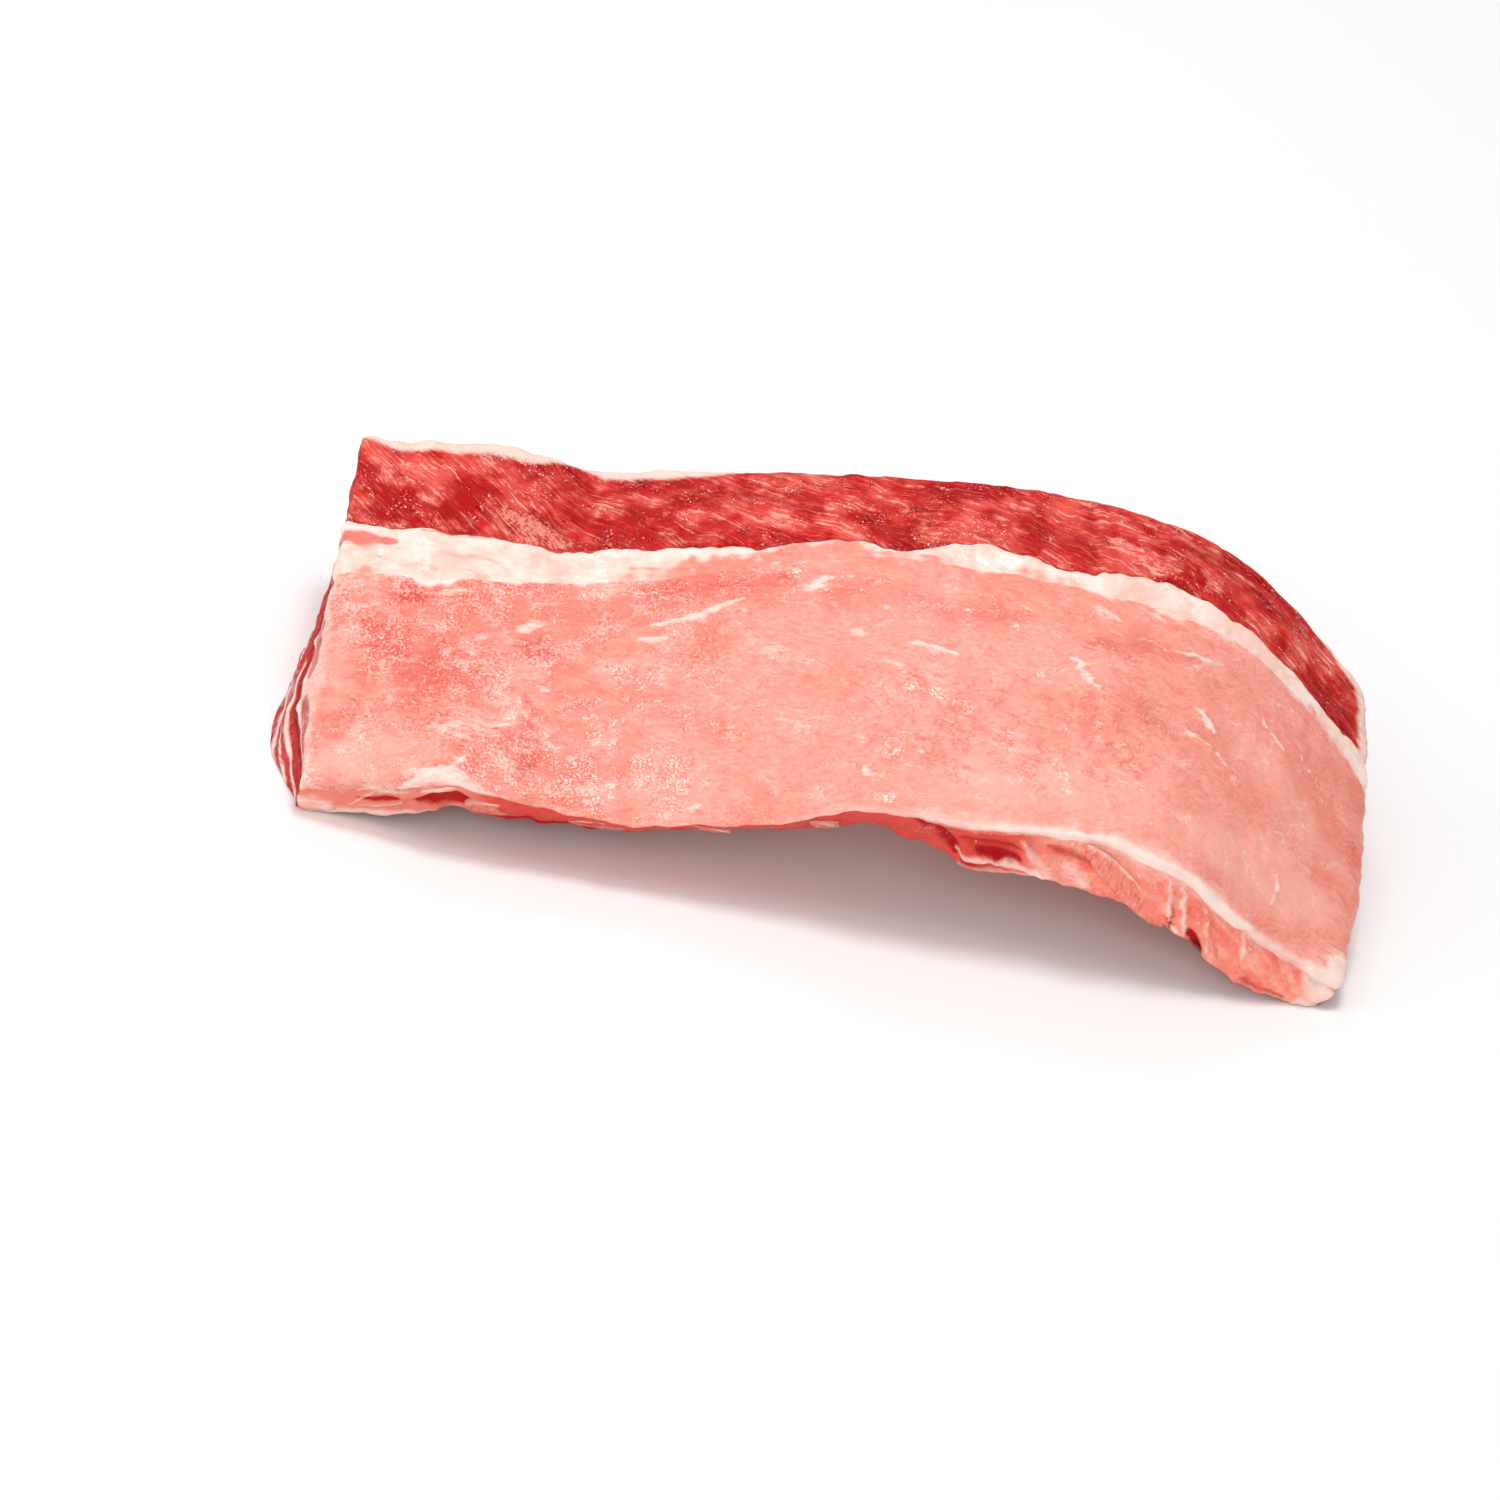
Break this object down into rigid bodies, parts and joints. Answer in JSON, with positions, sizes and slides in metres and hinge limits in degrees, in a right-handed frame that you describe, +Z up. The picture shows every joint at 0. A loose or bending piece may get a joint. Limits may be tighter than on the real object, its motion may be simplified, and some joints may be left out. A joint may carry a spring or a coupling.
{
  "type": "raw pork back rib rack",
  "caption": "Raw rack of pork back ribs lying bone side down in a gentle arch, with a pale meat cap, a white fat seam, a red muscle band and sawn rib ends.",
  "frame": {"origin": "on the floor below the middle of the rack's bounding box", "axes": "+X along the rack towards its drooping end, +Y from the sawn rib ends to the thick back, +Z up, meat side up"},
  "size_m": [0.2995, 0.1357, 0.0723],
  "materials": {
    "pale_pork": "moist, softly glossy pale pink raw pork",
    "white_fat": "moist creamy white fat",
    "red_muscle": "wet dark red fibrous muscle",
    "bone": "sawn raw bone, satin"
  },
  "bodies": {
    "root": {"pale_cap": "pale_pork", "fat_layer": "white_fat", "rib_meat": "red_muscle", "rib_bone_01": "bone", "rib_bone_02": "bone", "rib_bone_03": "bone", "rib_bone_04": "bone", "rib_bone_05": "bone", "rib_bone_06": "bone", "rib_bone_07": "bone", "rib_bone_08": "bone", "rib_bone_09": "bone", "rib_bone_10": "bone"}
  },
  "joints": []
}
